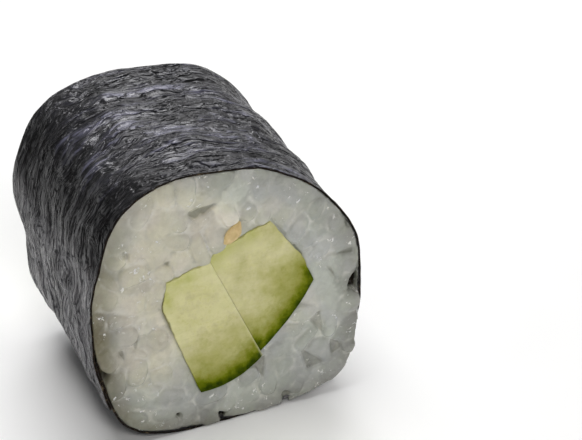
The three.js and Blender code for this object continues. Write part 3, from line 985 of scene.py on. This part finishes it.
# A closed ring of rice round the sticks, from one place along the roll to another
def addRing(bm, start, stop):
    faceSteps, wallSteps = core["faceSteps"], core["wallSteps"]
    path = [(start, i / faceSteps) for i in range(faceSteps)]
    path += [(start + (stop - start) * i / wallSteps, 1) for i in range(wallSteps)]
    path += [(stop, 1 - i / faceSteps) for i in range(faceSteps)]
    path += [(stop + (start - stop) * i / wallSteps, 0) for i in range(wallSteps)]
    turns = np.linspace(0, 2 * math.pi, core["around"] + 1)
    lowest = nori["thickness"] + core["clearFloor"] - roll["axisHeight"]
    rows = []
    for along, outwards in path:
        outlines = [stickOutline(stick, along) for stick in sticks.values()]

        def inSticks(x, z):
            return np.min([outsideOf(outline, x, z)[0] for outline in outlines], axis=0) < 0.06

        inner = reachOut(turns, inSticks, 25) - rice["cling"]
        outer = reachOut(turns, lambda x, z: insideWall(x, along, z) > 0, 60)
        reach = inner * (1 - outwards) + outer * outwards
        x = core["middle"][0] + reach * np.cos(turns)
        z = np.maximum(core["middle"][1] + reach * np.sin(turns), lowest)
        place = np.full(turns.shape, along)
        if abs(along) == halfLength:
            side = round(along / halfLength)
            cut = np.array([knifePlane(a, b, side) for a, b in zip(x, z)])
            place = side * (cut - filmDepth(x, z, side))
        rows.append(np.stack([x, place, z], 1))
    grid = bmesh.ops.create_grid(bm, x_segments=core["around"], y_segments=len(path), size=0.5)["verts"]
    for v in grid:
        row = rows[round((v.co.y + 0.5) * len(path)) % len(path)]
        v.co = toFrame(*row[round((v.co.x + 0.5) * core["around"])])
    bmesh.ops.remove_doubles(bm, verts=grid, dist=0.000002)
    bmesh.ops.recalc_face_normals(bm, faces=bm.faces)


# Evens out a value over a mesh, by averaging each vertex with its neighbours.
def spread(values, edges, rounds):
    a, b = edges.T
    count = np.bincount(a, minlength=len(values)) + np.bincount(b, minlength=len(values))
    for _ in range(rounds):
        total = np.bincount(a, values[b], len(values)) + np.bincount(b, values[a], len(values))
        values = (values + total / count) / 2
    return values


# Rounds the loose grains and fuses them with the ring into one skin
def fuse(obj, voxel):
    rounded = obj.modifiers.new("rounded", "SUBSURF")
    rounded.levels = rounded.render_levels = 1
    skin = obj.modifiers.new("skin", "REMESH")
    skin.mode = "VOXEL"
    skin.voxel_size = voxel * mm
    skin.use_smooth_shade = True
    mesh = bpy.data.meshes.new_from_object(obj.evaluated_get(bpy.context.evaluated_depsgraph_get()))
    obj.modifiers.clear()
    loose, obj.data = obj.data, mesh
    bpy.data.meshes.remove(loose)
    mesh.name = obj.name
    return mesh


def readRows(items, key, width, kind):
    values = np.empty(len(items) * width, dtype=kind)
    items.foreach_get(key, values)
    return values.reshape(-1, width)


# The grains of one cut face and the film between them
def makeFace(name, side, dice, material):
    bm = bmesh.new()
    grains = packGrains(side, dice)
    layer = bm.verts.layers.float.new("tone")
    pressGrains(grains, side, dice, bm, layer)
    tones = [v[layer] for v in bm.verts]
    nearest = kdtree.KDTree(len(tones))
    for index, v in enumerate(bm.verts):
        nearest.insert(v.co, index)
    nearest.balance()
    addRing(bm, side * halfLength, side * (halfLength - rice["skin"]))
    obj = makeObject(name, bm, material)
    mesh = fuse(obj, rice["voxels"][side])
    points = readRows(mesh.vertices, "co", 3, float)
    edges = readRows(mesh.edges, "vertices", 2, int)
    x, along, z = points[:, 0] / mm - axisX, points[:, 1] / mm, points[:, 2] / mm - roll["axisHeight"]
    height = side * along
    gap = gapShade(x, z, height, side)
    rim, brownNearWrap = rimShadeAndBrown(x, along, z)
    tone = spread(np.array([tones[nearest.find(p)[1]] for p in points]), edges, 1)
    even = (spread(tone, edges, 8) - tone) * smoothStep(6 - x, 0, 12)
    values = {
        "tone": tone + even * 0.6,
        "groove": np.clip((spread(height, edges, 22) - height) / 0.08, 0, 1) * (1 - gap),
        "rim": rim,
        "brownNearWrap": brownNearWrap,
        "gap": gap,
    }
    for key, value in values.items():
        mesh.attributes.new(key, "FLOAT", "POINT").data.foreach_set("value", value.astype(np.float32))
    print(name, ":", len(grains), "grains,", len(mesh.polygons), "faces")
    dress(obj, "rice")


def makeRice():
    dice = random.Random(rice["seed"])
    material = riceMaterial()
    makeFace("riceFront", -1, dice, material)
    makeFace("riceBack", 1, dice, material)
    bm = bmesh.new()
    reach = halfLength - rice["skin"] + rice["skinLap"]
    addRing(bm, -reach, reach)
    dress(makeObject("riceCore", bm, material), "rice")


# A toasted seed, bent over the edge of a stick: points of its middle line, and half its width at each
sesame = {
    "path": [(1.4, 10.3), (0.9, 9.2), (0.1, 8.4), (-1.2, 7.6)],
    "wide": [0.55, 0.88, 0.85, 0.4],
    "uneven": 0.2,
    "thick": 0.45,
    "depth": 0.22,
}


def makeSesame():
    bm = bmesh.new()
    bmesh.ops.create_icosphere(bm, subdivisions=5, radius=1)
    path = sesame["path"]
    for v in bm.verts:
        share = (v.co.x + 1) / 2
        middle = alongPath(path, share)
        run = (alongPath(path, min(1, share + 0.12)) - alongPath(path, max(0, share - 0.12))).normalized()
        wide = np.interp(share * 3, range(4), sesame["wide"])
        wide *= 1 + sesame["uneven"] * noise.noise(v.co * 2.4)
        p = middle + Vector((-run.y, run.x)) * v.co.z * wide
        v.co = toFrame(p.x, sesame["depth"] - halfLength + v.co.y * sesame["thick"], p.y)
    bmesh.ops.recalc_face_normals(bm, faces=bm.faces)
    dress(makeObject("sesameSeed", bm, sesameMaterial()), "rice")


# Degrees and millimetres
camera = {
    "azimuth": -25.17,
    "elevation": 29.5,
    "distance": 265.1,
    "target": (7.92, -14.6, 26.73),
    "lens": 136.08,
    "sensor": 36,
}

# Soft boxes: place and size in metres, power in watts, tint
softBoxes = {
    "overhead": ((0, 0.05, 0.5), (0.35, 0.35), 1.6, (1, 1, 1)),
    "backBox": ((0.2, 0.42, 0.3), (0.35, 0.22), 1.3, (1, 1, 1)),
    "key": ((-0.1, -0.46, 0.4), (0.14, 0.14), 1.0, (1, 0.98, 0.95)),
}
studio = {"sky": 0.14, "floor": 1.5}


def makeCamera():
    data = bpy.data.cameras.new("camera")
    data.sensor_width = camera["sensor"]
    data.lens = camera["lens"]
    data.clip_start, data.clip_end = 0.01, 10
    obj = addObject("camera", data)
    a, e = math.radians(camera["azimuth"]), math.radians(camera["elevation"])
    back = Vector((math.sin(a) * math.cos(e), -math.cos(a) * math.cos(e), math.sin(e)))
    obj.location = (Vector(camera["target"]) + back * camera["distance"]) * mm
    obj.rotation_euler = (-back).to_track_quat("-Z", "Y").to_euler()
    bpy.context.scene.camera = obj


def addSoftBox(name, place, size, power, tint):
    data = bpy.data.lights.new(name, "AREA")
    data.shape = "RECTANGLE"
    data.size, data.size_y = size
    data.energy = power
    data.color = tint
    obj = addObject(name, data)
    obj.location = place
    aim = Vector((0, 0, roll["radius"] * mm)) - Vector(place)
    obj.rotation_euler = aim.to_track_quat("-Z", "Y").to_euler()


def makeStage():
    bm = bmesh.new()
    bmesh.ops.create_grid(bm, x_segments=1, y_segments=1, size=studio["floor"])
    s = Shader("floor")
    grain = s.noise(40, detail=2)
    colour = s.ramp(grain, [(0.3, (0.93, 0.93, 0.93)), (0.7, (0.95, 0.95, 0.95))])
    floor = makeObject("floor", bm, s.finish(colour, 0.8, s.bump(grain, 0.0001, 0.1)))
    world = bpy.data.worlds.new("studio")
    world.use_nodes = True
    sky = world.node_tree.nodes["Background"].inputs
    sky["Color"].default_value = (1, 1, 1, 1)
    sky["Strength"].default_value = studio["sky"]
    bpy.context.scene.world = world
    for name, (place, size, power, tint) in softBoxes.items():
        addSoftBox(name, place, size, power, tint)
    bpy.context.scene.view_settings.view_transform = "Standard"


makeCamera()
makeNori()
print("nori rolled")
cucumber = cucumberMaterial()
for name, stick in sticks.items():
    makeStick(name, stick, cucumber)
print("cucumber sticks cut")
makeRice()
makeSesame()
print("rice packed")
makeStage()
